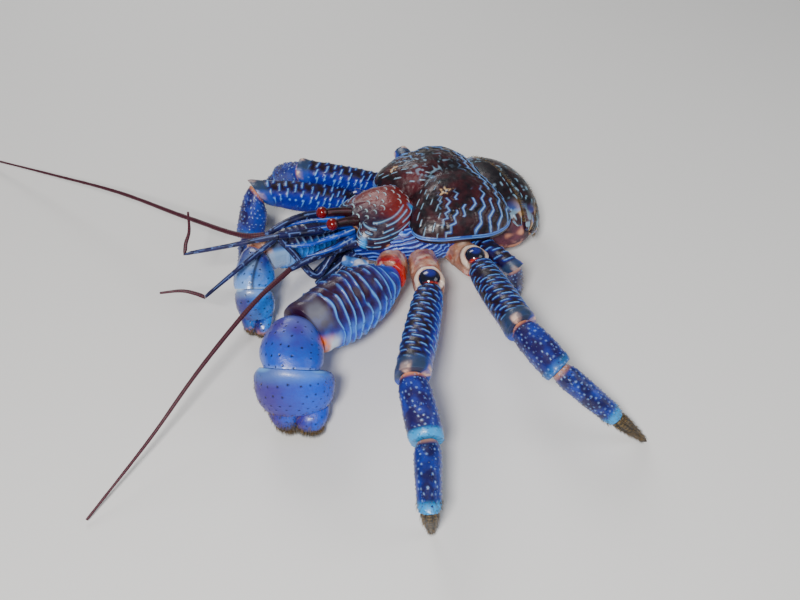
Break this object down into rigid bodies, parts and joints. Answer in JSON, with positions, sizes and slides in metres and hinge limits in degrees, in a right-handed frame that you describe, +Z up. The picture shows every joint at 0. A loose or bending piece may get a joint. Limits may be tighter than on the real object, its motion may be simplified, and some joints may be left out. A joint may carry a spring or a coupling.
{
  "type": "coconut crab",
  "caption": "Life-size coconut crab standing still with raised claws, blue and maroon ridged shell, red eyes and long feelers.",
  "frame": {"origin": "on the floor, in the middle of the small flat on which the abdomen rests", "axes": "-X towards the head, +Y towards the crab's right side, +Z up; the part lies along X and its feelers and left legs reach along Y"},
  "size_m": [0.3183, 0.4124, 0.0625],
  "materials": {
    "shell_dark": "dark maroon shell with pale blue lines, glossy",
    "shell_blue": "deep blue shell with pale marks, glossy",
    "shell_violet": "violet blue shell with dark pits, glossy",
    "shell_pale": "cream and orange shell of the leg roots",
    "eye_red": "bright glossy red",
    "feeler_red": "ringed dark red feelers",
    "claw_horn": "dark brown horn with bristles",
    "belly_skin": "soft wrinkled skin"
  },
  "bodies": {
    "root": {"abdomen_belly": "belly_skin", "abdomen_plate_1": "shell_dark", "abdomen_plate_2": "shell_dark", "abdomen_plate_3": "shell_dark", "abdomen_telson": "shell_dark", "antenna_base_l": "shell_violet", "antenna_base_r": "shell_violet", "antenna_l": "feeler_red", "antenna_r": "feeler_red", "antennule_brush_l": "feeler_red", "antennule_brush_r": "feeler_red", "antennule_l": "shell_violet", "antennule_r": "shell_violet", "antennule_tip_l": "shell_violet", "antennule_tip_r": "shell_violet", "carapace_cheek_l": "shell_blue", "carapace_cheek_r": "shell_blue", "carapace_lobes": "shell_dark", "carapace_shield": "shell_dark", "claw_l_base": "shell_pale", "claw_l_carpus": "shell_violet", "claw_l_dactylus": "claw_horn", "claw_l_merus": "shell_violet", "claw_l_palm": "shell_blue", "claw_r_base": "shell_pale", "claw_r_carpus": "shell_violet", "claw_r_dactylus": "claw_horn", "claw_r_merus": "shell_violet", "claw_r_palm": "shell_blue", "eye_l": "eye_red", "eye_r": "eye_red", "eyestalk_l": "shell_dark", "eyestalk_r": "shell_dark", "leg2_l_base": "shell_pale", "leg2_l_carpus": "shell_violet", "leg2_l_dactylus": "claw_horn", "leg2_l_merus": "shell_blue", "leg2_l_propodus": "shell_blue", "leg2_r_base": "shell_pale", "leg2_r_carpus": "shell_violet", "leg2_r_dactylus": "claw_horn", "leg2_r_merus": "shell_blue", "leg2_r_propodus": "shell_blue", "leg3_l_base": "shell_pale", "leg3_l_carpus": "shell_violet", "leg3_l_dactylus": "claw_horn", "leg3_l_merus": "shell_blue", "leg3_l_propodus": "shell_blue", "leg3_r_base": "shell_pale", "leg3_r_carpus": "shell_violet", "leg3_r_dactylus": "claw_horn", "leg3_r_merus": "shell_blue", "leg3_r_propodus": "shell_blue", "leg4_l_lower": "claw_horn", "leg4_l_upper": "shell_blue", "leg4_r_lower": "claw_horn", "leg4_r_upper": "shell_blue", "maxilliped_l": "shell_violet", "maxilliped_r": "shell_violet", "thorax": "shell_pale"}
  },
  "joints": []
}
